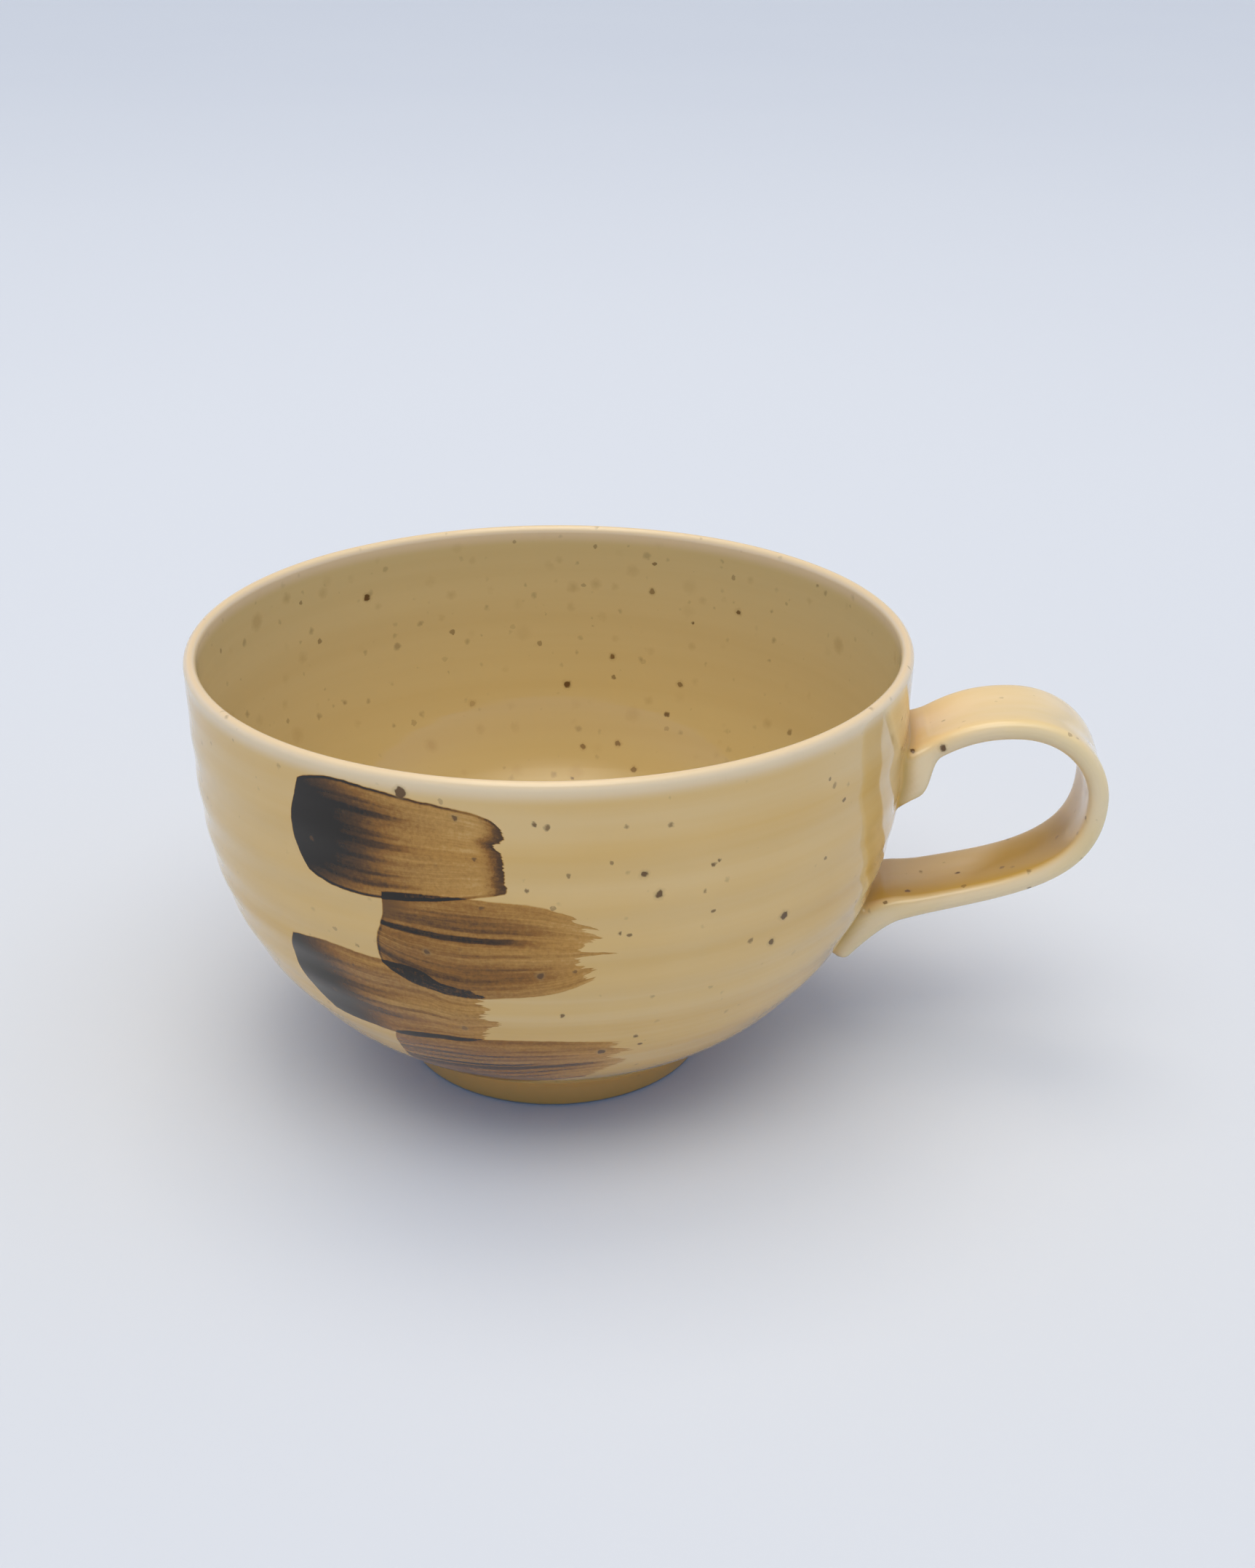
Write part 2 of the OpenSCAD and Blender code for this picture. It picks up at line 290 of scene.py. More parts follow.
# ---------------------------------------------------------------- the clay, as a tree of geometry nodes
def clay_tree():
    tree = bpy.data.node_groups.new("thrown_bowl_and_strap", "GeometryNodeTree")
    tree.interface.new_socket("Clay", in_out="OUTPUT", socket_type="NodeSocketGeometry")
    for name in SIZES:
        tree.interface.new_socket(name, in_out="INPUT", socket_type="NodeSocketFloat")
    for name in ("around", "strap_around", "strap_along"):
        tree.interface.new_socket(name, in_out="INPUT", socket_type="NodeSocketInt")
    tree.interface.new_socket("handle_line", in_out="INPUT", socket_type="NodeSocketObject")
    tree.interface.new_socket("glaze", in_out="INPUT", socket_type="NodeSocketMaterial")
    g = Maker(tree)
    given = g.add("NodeGroupInput")
    s = SimpleNamespace(**{name: given.out(name) for name in SIZES})

    def sheet(across, along):
        """A grid whose position gives two shares from 0 to 1."""
        grid = g.add("GeometryNodeMeshGrid", None, {0: 1.0, 1: 1.0, 2: across, 3: along})
        x, y, _ = g.parts(g.add("GeometryNodeInputPosition"))
        return grid, x + 0.5, y + 0.5

    def placed(grid, position):
        return g.add("GeometryNodeSetPosition", None, {"Geometry": grid, "Position": position})

    def skin(rows, rule):
        """Turned about the axis. The columns lie closer together at the handle."""
        grid, u, t = sheet(given.out("around"), rows)
        angle = u * TURN - CROWD_AROUND * sine(u * TURN)
        r, z = rule(t)
        return placed(grid, g.xyz(r * cosine(angle), r * sine(angle), z))

    lip_mid = s.body_h - s.lip_round

    def under(t):
        r = t * (s.foot_r - s.foot_round)
        shoulder = smooth01((r - s.ring_in + RECESS_SHOULDER) / (s.foot_round + RECESS_SHOULDER))
        return r, s.recess_h * (1 - shoulder)

    def outside(t):
        z = lip_mid * t * (CROWD_FOOT + (1 - CROWD_FOOT) * t)
        return outside_r(z, s), z

    def lip(t):
        r_out = outside_r(lip_mid, s)
        r_in = wall_r(lip_mid, s) - s.lip_t
        across, up = cosine(t * math.pi), sine(t * math.pi)
        return (r_out + r_in) / 2 + (r_out - r_in) / 2 * across, lip_mid + s.lip_round * up

    def inside(t):
        z = s.floor_z + (lip_mid - s.floor_z) * (1 - t) ** CROWD_FLOOR
        return inside_r(z, s), z

    skins = [skin(ACROSS_FOOT, under), skin(UP_OUTSIDE, outside), skin(UP_LIP, lip), skin(UP_INSIDE, inside)]
    joined = g.add("GeometryNodeJoinGeometry", None, {0: skins})
    bowl = g.add("GeometryNodeMergeByDistance", None, {"Geometry": joined, "Distance": WELD})

    # the strap: a rounded section carried along the line, with a point at each end to close it
    line = g.add("GeometryNodeObjectInfo", None, {0: given.out("handle_line")}).out("Geometry")
    total = g.add("GeometryNodeCurveLength", None, {0: line})
    grid, u, t = sheet(given.out("strap_around"), given.out("strap_along"))
    last = STRAP_ALONG - 1
    ring = t * last
    # the first and the last ring close to a point
    open_ = clamp01(low(ring, last - ring))
    share = clamp01((ring - 1) / (last - 2))
    path = g.add("GeometryNodeSampleCurve", {"mode": "FACTOR"}, {"Curves": line, "Factor": share}, "Position")
    tx, _, tz = g.parts(g.vector("NORMALIZE", path.out("Tangent")))
    half, outer, inner, corner, hollow = strap_section(share * total, total, s)
    turn = u * TURN
    turn = turn + CROWD_STRAP * sine(turn * 2)
    cy, cn = cosine(turn), sine(turn)
    far = 2 / high(size_of(cy), size_of(cn))
    square = g.xyz(cy * far, cn * far, 0.0)
    core = g.vector("MINIMUM", g.vector("MAXIMUM", square, (-1, -1, 0)), (1, 1, 0))
    arc = g.vector("NORMALIZE", g.vector("SUBTRACT", square, core))
    core_y, core_n, _ = g.parts(core)
    arc_y, arc_n, _ = g.parts(arc)
    up = high(core_n, 0.0)
    down = low(core_n, 0.0)
    dip = hollow * cosine(core_y * (math.pi / 2)) ** 2
    y = (core_y * (half - corner) + arc_y * corner) * open_
    n = (up * (outer - corner - dip) + down * (inner - corner - dip) + arc_n * corner) * open_
    px, _, pz = g.parts(path)
    x, z = px - tz * n, pz + tx * n
    # what lies inside the wall ends just under its skin
    buried = root(high((outside_r(z, s) - BURIED) ** 2 - y * y, 0.0))
    strap = placed(grid, g.xyz(high(x, buried), y, z))
    strap = g.add("GeometryNodeMergeByDistance", None, {"Geometry": strap, "Distance": WELD})

    clay = g.add("GeometryNodeMeshBoolean", {"operation": "UNION", "solver": "EXACT"}, {1: [bowl, strap]})
    clay = g.add("GeometryNodeRealizeInstances", None, {0: clay})
    clay = g.add("GeometryNodeSetMaterial", None, {"Geometry": clay, "Material": given.out("glaze")})
    g.add("NodeGroupOutput", None, {0: clay})
    return tree


def make_clay(glaze):
    """The tree's result as a plain mesh, still in millimetres."""
    line = make_line_object()
    tree = clay_tree()
    obj = bpy.data.objects.new("mug_clay", bpy.data.meshes.new("seed"))
    bpy.context.scene.collection.objects.link(obj)
    mod = obj.modifiers.new("clay", "NODES")
    mod.node_group = tree
    values = dict(SIZES, around=AROUND, strap_around=STRAP_AROUND, strap_along=STRAP_ALONG,
                  handle_line=line, glaze=glaze)
    for item in tree.interface.items_tree:
        if item.in_out == "INPUT":
            mod[item.identifier] = values[item.name]
    evaluated = obj.evaluated_get(bpy.context.evaluated_depsgraph_get())
    mesh = bpy.data.meshes.new_from_object(evaluated)
    bpy.data.objects.remove(obj)
    bpy.data.objects.remove(line)
    return mesh


# ---------------------------------------------------------------- soft joints between strap and wall
def bezier_points(count):
    """The handle's line as points, and the length travelled at each."""
    pts = handle_line()
    out = []
    for (_, a, b), (c, d, _) in zip(pts, pts[1:]):
        t = np.linspace(0, 1, count, endpoint=False)[:, None]
        a_, b_, c_, d_ = (np.array(p, float) for p in (a, b, c, d))
        out.append((1 - t) ** 3 * a_ + 3 * (1 - t) ** 2 * t * b_ + 3 * (1 - t) * t * t * c_ + t ** 3 * d_)
    line = np.vstack([*out, [pts[-1][1]]])
    lengths = np.hypot(*np.diff(line, axis=0).T)
    return line, np.r_[0, np.cumsum(lengths)]


LINE, RUN = bezier_points(120)
FAR = 1e9


def strap_distance(p):
    """Signed distance to the strap, with the place along it and across its thickness."""
    seg = LINE[1:] - LINE[:-1]
    length = np.hypot(*seg.T)
    best = np.full(len(p), FAR)
    run, side = np.zeros(len(p)), np.zeros(len(p))
    for k in range(len(seg)):
        d = seg[k] / length[k]
        rel = p[:, [0, 2]] - LINE[k]
        first, final = (-FAR if k == 0 else 0), (FAR if k == len(seg) - 1 else length[k])
        t = np.clip(rel @ d, first, final)
        gap = rel - np.outer(t, d)
        dist = np.hypot(*gap.T)
        closer = dist < best
        best = np.where(closer, dist, best)
        run = np.where(closer, RUN[k] + t, run)
        n = rel @ np.array([-d[1], d[0]])
        side = np.where(closer, n, side)
    total = RUN[-1]
    half, outer, inner, corner, _ = strap_section(np.clip(run, 0, total), total, S)
    qy = np.abs(p[:, 1]) - (half - corner)
    qn = np.abs(side - (outer - inner) / 2) - ((outer + inner) / 2 - corner)
    section = np.hypot(np.maximum(qy, 0), np.maximum(qn, 0)) + np.minimum(np.maximum(qy, qn), 0) - corner
    return np.maximum(section, np.maximum(run - total, -run)), run, side


def wall_distance(p):
    r = np.hypot(p[:, 0], p[:, 1])
    z = p[:, 2]
    slope = (outside_r(z + 0.05, S) - outside_r(z - 0.05, S)) / 0.1
    return (r - outside_r(z, S)) / np.sqrt(1 + slope ** 2)


def joined_distance(p):
    a, b = wall_distance(p), strap_distance(p)[0]
    h = np.maximum(JOIN_REACH - np.abs(a - b), 0) / JOIN_REACH
    return np.minimum(a, b) - h * h * JOIN_REACH / 4


def gradient(f, p, step=0.02):
    out = np.empty_like(p)
    for k in range(3):
        d = np.zeros(3)
        d[k] = step
        out[:, k] = (f(p + d) - f(p - d)) / (2 * step)
    return out


def settled(q, steps=5):
    """Points moved on to the softened surface."""
    for _ in range(steps):
        slope = gradient(joined_distance, q)
        q = q - joined_distance(q)[:, None] * slope / np.maximum((slope ** 2).sum(1), 0.3)[:, None]
    return q


def evened(mesh, p, near, rounds=4):
    """Spreads the points along the joint evenly, on the surface."""
    ends = np.empty(len(mesh.edges) * 2, int)
    mesh.edges.foreach_get("vertices", ends)
    a, b = ends.reshape(-1, 2).T
    count = np.bincount(ends, minlength=len(p))[:, None]
    for _ in range(rounds):
        total = np.zeros_like(p)
        np.add.at(total, a, p[b])
        np.add.at(total, b, p[a])
        p[near] = settled((p[near] + total[near] / count[near]) / 2, 2)
    return p


CRUMB, SLIVER = 0.03, 0.02  # closer points are welded, thinner faces dissolved
HANDLE_SIDE, HANDLE_HALF = 25, 17  # the handle lies beyond this x and within this half width
NEAR_JOINT, UNDER_SKIN = 3, -0.5
UNEVEN_LEAST, UNEVEN_MORE, UNEVEN_WAVES = 0.03, 0.09, (31, 13)
POOL_ON_WALL, POOL_ON_STRAP = 1.2, 0.9  # how far glaze pools out of the joint
BOX_MARGIN = 0.005
ALONG_UNIT, ACROSS_UNIT = 100, 10  # millimetres in the attributes along and across


def finish_clay(mesh):
    """Softens the joints, adds the hand's slight unevenness and stores what the glaze follows."""
    bm = bmesh.new()
    bm.from_mesh(mesh)
    bmesh.ops.remove_doubles(bm, verts=bm.verts, dist=CRUMB)
    bmesh.ops.dissolve_degenerate(bm, edges=bm.edges, dist=SLIVER)
    bmesh.ops.triangulate(bm, faces=[f for f in bm.faces if len(f.verts) > 4])
    bm.to_mesh(mesh)
    bm.free()
    p = np.empty(len(mesh.vertices) * 3)
    mesh.vertices.foreach_get("co", p)
    p = p.reshape(-1, 3)
    side = np.flatnonzero((p[:, 0] > HANDLE_SIDE) & (np.abs(p[:, 1]) < HANDLE_HALF))
    wall = wall_distance(p)
    strap, run, across = np.full(len(p), 50.0), np.zeros(len(p)), np.zeros(len(p))
    strap[side], run[side], across[side] = strap_distance(p[side])
    near = np.flatnonzero((wall > UNDER_SKIN) & (np.abs(wall) < NEAR_JOINT) & (np.abs(strap) < NEAR_JOINT))
    p[near] = settled(p[near])
    p = evened(mesh, p, near)
    wall[near] = wall_distance(p[near])
    strap[near], run[near], across[near] = strap_distance(p[near])
    normals_near = gradient(joined_distance, p[near])
    normals_near /= np.linalg.norm(normals_near, axis=1)[:, None]

    # slight unevenness, always towards the clay
    mesh.vertices.foreach_set("co", p.ravel())
    mesh.update()
    n = np.empty(len(p) * 3)
    mesh.vertices.foreach_get("normal", n)
    n = n.reshape(-1, 3)
    n[near] = normals_near
    wide, fine = UNEVEN_WAVES
    uneven = np.array([noise.noise(Vector(v) / wide) + 0.5 * noise.noise(Vector(v) / fine) for v in p])
    depth = UNEVEN_LEAST + UNEVEN_MORE * np.clip(0.55 + uneven * 0.6, 0, 1)
    p = p - n * depth[:, None] * (p[:, 2:3] > 0.3)
    lo, hi = (np.array(v) / MM for v in (cad_lo, cad_hi))
    p = np.clip(p, lo + BOX_MARGIN, hi - BOX_MARGIN)

    # what the glaze follows
    r = np.hypot(p[:, 0], p[:, 1])
    inside = (wall < -0.8) & (p[:, 2] > S.floor_z - 0.5) & (r < inside_r(p[:, 2] + 0.5, S) + 0.7)
    gap = np.maximum(np.maximum(wall / POOL_ON_WALL, strap / POOL_ON_STRAP), 0)
    crease = np.where((wall > UNDER_SKIN) & (strap < 30), np.exp(-gap ** 2), 0)
    on_strap = np.where((strap < 0.6) & (wall > 0.3), 1.0, 0.0) * np.clip(wall / 2.5, 0, 1)
    mesh.vertices.foreach_set("co", (p * MM).ravel())
    for name, value in (("inside", inside.astype(float)), ("crease", crease), ("strap", on_strap),
                        ("along", run / ALONG_UNIT), ("across", across / ACROSS_UNIT)):
        mesh.attributes.new(name, "FLOAT", "POINT").data.foreach_set("value", value.astype(np.float32))
    mesh.polygons.foreach_set("use_smooth", np.ones(len(mesh.polygons), bool))
    mesh.update()
    mesh.normals_split_custom_set_from_vertices(n)
    return mesh


# ---------------------------------------------------------------- glaze
WALL_CREAM = (0.785, 0.51, 0.205)
WALL_YELLOW = (0.735, 0.43, 0.12)
LIP_CREAM = (0.88, 0.665, 0.405)
INSIDE_OCHRE = (0.75, 0.56, 0.25)
# painted shade: the inside's ochre darkened deep in the cup
SHADED_DEEP_OCHRE = (0.53, 0.38, 0.15)
STRAP_CREAM = (0.88, 0.67, 0.385)
STRAP_GOLD = (0.82, 0.58, 0.22)
# amber of the lower arm's inner face, darkened as painted shade
ARM_AMBER_AND_SHADE = (0.62, 0.37, 0.05)
POOLED_AMBER = (0.50, 0.29, 0.05)
FOOT_AMBER = (0.78, 0.325, 0.06)
BARE_CLAY = (0.42, 0.31, 0.20)
SPECK_BROWN = (0.12, 0.053, 0.015)
SPECK_AMBER = (0.42, 0.25, 0.08)
GLAZE_IOR, GLAZE_ROUGH, BARE_ROUGH = 1.44, 0.07, 0.6
# Heights in millimetres between which one look turns into another
LIP_BAND, LOWER_WALL, INSIDE_SHADE_DEPTH = (68.8, 71.3), (24, 46), (8, 66)
FOOT_BAND, BARE_BAND = (5.0, 6.4), (0.15, 0.5)
# Lengths along the strap between which the lower arm's amber, partly painted shade, comes, widens and narrows
ARM_COMES, ARM_WIDENS, ARM_NARROWS = (40, 54), (46, 54), (62, 72)
# What the iron wash lets through, from thin to thick
WASH = [(0.0, (1, 1, 1)), (0.28, (0.70, 0.54, 0.29)), (0.5, (0.38, 0.235, 0.075)),
        (0.68, (0.13, 0.08, 0.036)), (0.86, (0.015, 0.014, 0.014))]

# Four swipes of the brush from left to right, in degrees from the handle and millimetres of height.
# top, low: height of its edges. left, right: its ends, by share of its height.
# full: where the full brush ran dry, by share of its height. fade, drag: how softly and how unevenly it did.
# thick: thickness of the wash before that. load: thickness past it, by share of the span.
# streaks: share of height, half width, strength, where it ends. contrast: strength of the bristles' fine lines.
# ragged: how torn the right end is. rim: the dark edge, as far as rim_ends.
# pooled: wash gathered at the right end.
SWIPES = [
    dict(span=(-125, -86),
         top=[(-125, 65.4), (-122.5, 68), (-119.1, 69.3), (-115, 69.8), (-110.3, 69.5), (-104.2, 68.8),
              (-96.8, 67.9), (-94.2, 67.3), (-90.4, 65.4), (-86, 62)],
         low=[(-125, 56.6), (-122.7, 54.5), (-119, 52.9), (-113.2, 52.2), (-104.5, 52.8), (-96.4, 54.1),
              (-90.6, 55.3), (-86, 56.6)],
         left=[(0, -121.6), (0.1, -123.2), (0.3, -124.1), (0.6, -124.1), (0.85, -123.2), (1, -122.3)],
         right=[(0, -90.9), (0.05, -90.6), (0.2, -90.9), (0.4, -90.9), (0.51, -91), (0.6, -91.3),
                (0.68, -92.2), (0.76, -91.2), (0.85, -90.8), (0.93, -91), (0.98, -91.7), (1, -92.4)],
         full=[(0, -120.5), (0.1, -119), (0.21, -117.4), (0.49, -115), (0.71, -115.4), (0.84, -117.6),
               (1, -120)],
         fade=17, drag=2.2, thick=1.0,
         load=[(0, 0.52), (0.25, 0.5), (0.45, 0.42), (0.7, 0.3), (0.85, 0.27), (1, 0.3)],
         streaks=[(0.5, 0.5, 0.16, -104), (0.77, 0.03, 0.13, -99), (0.87, 0.025, 0.1, -103),
                  (0.6, 0.03, 0.12, -100), (0.5, 0.04, 0.12, -97), (0.36, 0.035, 0.12, -104),
                  (0.13, 0.03, 0.12, -97), (0.22, 0.02, 0.1, -100)],
         contrast=0.6, ragged=0.12, rim=0.42, rim_ends=-90, pooled=0.46, seed=1.0),
    dict(span=(-112, -70),
         top=[(-112, 53), (-109.2, 53.4), (-104.4, 54), (-98, 54.2), (-93, 54), (-86.8, 53.5), (-82.7, 52.3),
              (-77.3, 50.2), (-70, 47)],
         low=[(-112, 42.2), (-110.6, 41), (-108.2, 39.4), (-103.3, 37.5), (-97, 36.6), (-92, 37.1),
              (-83.8, 38.4), (-77.9, 40.6), (-70, 43)],
         left=[(0, -110.6), (0.16, -110.9), (0.4, -110.6), (0.6, -109.8), (0.8, -109.2), (1, -109)],
         right=[(0, -80.5), (0.03, -78.2), (0.13, -79.9), (0.19, -78.2), (0.27, -80), (0.43, -80.8),
                (0.48, -75), (0.53, -80.8), (0.63, -79.6), (0.71, -78.4), (0.77, -77.6), (0.83, -80),
                (0.89, -78), (0.93, -81.8), (0.97, -80.4), (1, -84)],
         full=[(0, -114), (0.5, -113), (0.66, -109.5), (0.8, -106.6), (1, -105)],
         fade=6, drag=6, thick=0.62,
         load=[(0, 0.46), (0.2, 0.45), (0.5, 0.39), (0.8, 0.27), (1, 0.18)],
         streaks=[(0.615, 0.04, 0.36, -84), (0.755, 0.06, 0.16, -79), (0.7, 0.02, 0.14, -83),
                  (0.84, 0.02, 0.1, -82), (0.22, 0.1, 0.15, -80), (0.45, 0.02, 0.1, -80),
                  (0.32, 0.02, 0.12, -80), (0.12, 0.02, 0.08, -84)],
         contrast=0.75, ragged=0.5, rim=0.42, rim_ends=-106, pooled=0, seed=4.0),
    dict(span=(-131, -90),
         top=[(-131, 40), (-128.2, 40.7), (-124.9, 41.3), (-120, 41.8), (-114, 41.5), (-107.1, 41.3),
              (-104.3, 40.7), (-101.6, 39.3), (-98.5, 38.4), (-94, 38.2), (-90, 37)],
         low=[(-131, 31), (-129.4, 28.8), (-127.5, 27), (-124, 26), (-117.3, 25.7), (-112, 25.4),
              (-103.5, 26.4), (-99.4, 26.7), (-95.7, 27.6), (-90, 28.5)],
         left=[(0, -126), (0.2, -129.2), (0.5, -130), (0.75, -129.6), (1, -128.2)],
         right=[(0, -96.5), (0.11, -95.5), (0.25, -94.9), (0.38, -93.1), (0.44, -94.8), (0.49, -95.5),
                (0.63, -94.3), (0.74, -95.6), (0.85, -95.2), (1, -96)],
         full=[(0, -117), (0.2, -117.5), (0.5, -119.5), (0.75, -122), (1, -125)],
         fade=14, drag=4, thick=0.94,
         load=[(0, 0.54), (0.25, 0.49), (0.5, 0.42), (0.8, 0.35), (1, 0.3)],
         streaks=[(0.56, 0.05, 0.18, -105), (0.3, 0.06, 0.16, -104), (0.8, 0.03, 0.12, -102),
                  (0.68, 0.02, 0.12, -99), (0.42, 0.025, 0.14, -98)],
         contrast=0.75, ragged=0.7, rim=0.1, rim_ends=-120, pooled=0, seed=8.0),
    dict(span=(-119, -66),
         top=[(-119, 23.6), (-114.5, 25.3), (-109.5, 26.7), (-104, 27.4), (-97, 27.6), (-87.7, 27.9),
              (-80.2, 27.5), (-73.6, 26.8), (-66, 25.2)],
         low=[(-119, 12.4), (-114, 10.2), (-110, 9.7), (-102, 10.6), (-93.6, 12), (-86.3, 13.8),
              (-79.4, 15.2), (-66, 16.4)],
         left=[(0, -117), (0.4, -116.2), (0.7, -115), (0.9, -113.8), (1, -112.6)],
         right=[(0, -79), (0.19, -75.5), (0.3, -73.4), (0.47, -71.6), (0.56, -73.2), (0.66, -74), (0.79, -71),
                (0.88, -74.4), (1, -73.4)],
         full=[(0, -122), (0.7, -118), (0.86, -114), (1, -111)],
         fade=5, drag=5, thick=0.5,
         load=[(0, 0.42), (0.25, 0.46), (0.5, 0.44), (0.75, 0.36), (0.88, 0.24), (1, 0.12)],
         streaks=[(0.53, 0.03, 0.34, -84), (0.45, 0.045, 0.28, -72), (0.71, 0.028, 0.22, -76),
                  (0.62, 0.02, 0.14, -78), (0.34, 0.03, 0.16, -76), (0.8, 0.02, 0.1, -80),
                  (0.22, 0.03, 0.14, -80)],
         contrast=0.8, ragged=1.0, rim=0.08, rim_ends=-112, pooled=0, seed=13.0),
]

# Larger iron specks: degrees from the handle, height, radius, how dark
SPECKS_OUTSIDE = [
    (-105, 69.6, 0.8, 1), (-86.5, 66.3, 0.36, 0.8), (-71.4, 57.6, 0.48, 0.9), (-69.1, 54.2, 0.52, 0.9),
    (-61, 57.4, 0.34, 0.8), (-60.2, 57.8, 0.3, 0.8), (-60.7, 49.6, 0.34, 0.7), (-47.5, 45.1, 0.72, 1),
    (-49.1, 40.9, 0.5, 0.8), (-74.7, 48.3, 0.32, 0.8), (-73.4, 47.9, 0.3, 0.7), (-40.2, 65.1, 0.34, 0.6),
    (-36.5, 60.5, 0.34, 0.7), (-39.8, 52.1, 0.28, 0.6), (-76, 60, 0.3, 0.6), (-82, 58.2, 0.28, 0.6),
    (-69.4, 25.3, 0.32, 0.8), (-76.1, 24.5, 0.6, 0.9), (-83, 33.8, 0.32, 0.8), (-86.2, 41.5, 0.5, 0.9),
    (-102.8, 44.4, 0.42, 0.9), (-97.4, 66.7, 0.42, 0.8), (-94.8, 60.6, 0.3, 0.7), (-99.2, 69, 0.34, 0.4),
    (-87.7, 55.9, 0.3, 0.7), (-94.1, 52.8, 0.32, 0.7), (-84.2, 53.2, 0.3, 0.5), (-81.1, 42.2, 0.32, 0.6),
    (-98.9, 30, 0.42, 0.5), (-118.2, 44.8, 0.3, 0.4), (-79, 8.7, 0.4, 0.5),
]
SPECKS_INSIDE = [
    (132.5, 62.8, 0.62, 1), (92.7, 42.3, 0.64, 1), (57.9, 59.6, 0.46, 0.75), (83.6, 47.7, 0.44, 0.75),
    (83.2, 44, 0.38, 0.6), (69.2, 44.1, 0.44, 0.6), (76.6, 28.7, 0.46, 0.6), (81.2, 32.5, 0.44, 0.6),
    (89, 31.6, 0.42, 0.6), (144, 57.4, 0.4, 0.55), (147.8, 65.6, 0.36, 0.55), (115.4, 53.3, 0.4, 0.55),
    (98.2, 50, 0.4, 0.5), (75.7, 66.1, 0.36, 0.65), (76, 60.8, 0.42, 0.55), (87.2, 68.6, 0.34, 0.5),
    (89.5, 61.2, 0.32, 0.4), (102.6, 69.6, 0.34, 0.45), (59.2, 65.9, 0.34, 0.45), (174, 65.4, 0.36, 0.5),
    (155.6, 46.2, 0.36, 0.4), (112.7, 39.9, 0.5, 0.3), (125.9, 38.3, 0.4, 0.35), (70.8, 36, 0.4, 0.35),
    (77.2, 47.3, 0.4, 0.25), (103.4, 53.3, 0.34, 0.25), (46.7, 63.8, 0.3, 0.35), (117.3, 48.5, 0.4, 0.25),
]
# The same on the strap: place in millimetres, radius, how dark
SPECKS_STRAP = [
    ((57.5, -8.4, 57.3), 0.42, 1), ((62.2, -8.5, 58.0), 0.5, 0.95), ((62.7, -1.4, 59.7), 0.32, 0.4),
    ((66.8, -0.8, 32.4), 0.4, 0.8), ((58.5, -4.8, 30.8), 0.42, 0.75), ((67.4, -6.2, 32.8), 0.32, 0.5),
    ((85.5, -7.0, 46.0), 0.36, 0.6), ((84.7, -6.3, 43.0), 0.32, 0.4), ((81.7, -7.6, 60.6), 0.36, 0.45),
    ((73.7, -2.6, 34.5), 0.34, 0.5), ((54.8, -7.8, 30.1), 0.38, 0.7),
]
HEIGHT_SPAN = 80.0  # the curves of a swipe's edges span this height
FRONT = (-134, -33)  # degrees between which the swipes and the larger outside specks lie
# Fine hairs and coarser bristles over a swipe's height, and how they change along it, per degree
HAIRS, BRISTLES, HAIR_DRIFT, BRISTLE_DRIFT = 13, 17, 0.03, 0.015
# In millimetres: softness of an edge, how far in the rim lies and how wide it is, lengths of pool and dry end
EDGE_SOFT, RIM_IN, RIM_WIDE, POOL_LONG, DRY_LONG = 0.15, 0.2, 0.4, 3.4, 4
STREAK_FADE, RIM_FADE = 9, 10  # degrees
# In millimetres: the soft edge of a speck, and the edge and reach of the amber round it
SPOT_EDGE, STAIN_EDGE, STAIN_REACH = 0.28, 0.6, 0.41


def plain_material(name):
    mat = bpy.data.materials.new(name)
    mat.use_nodes = True
    mat.node_tree.nodes.clear()
    return mat, Maker(mat.node_tree)


def cloud(m, vector, scale, detail=2.0, rough=0.5):
    return m.add("ShaderNodeTexNoise", None,
                 {"Vector": vector, "Scale": scale, "Detail": detail, "Roughness": rough})


def streak_lines(swipe):
    """How strong a swipe's streaks are up its height, and the angle at which they give out."""
    v = np.linspace(0, 1, 65)
    gain, reach = np.zeros_like(v), np.zeros_like(v)
    for at, half, strength, end in swipe["streaks"]:
        bump = strength * np.clip(1.3 - 1.3 * ((v - at) / half) ** 2, 0, 1)
        gain, reach = gain + bump, reach + bump * end
    drawn = gain > 0.001
    reach = np.interp(v, v[drawn], reach[drawn] / gain[drawn])
    return [(float(a), float(b)) for a, b in zip(v, gain)], [(float(a), float(b)) for a, b in zip(v, reach)]


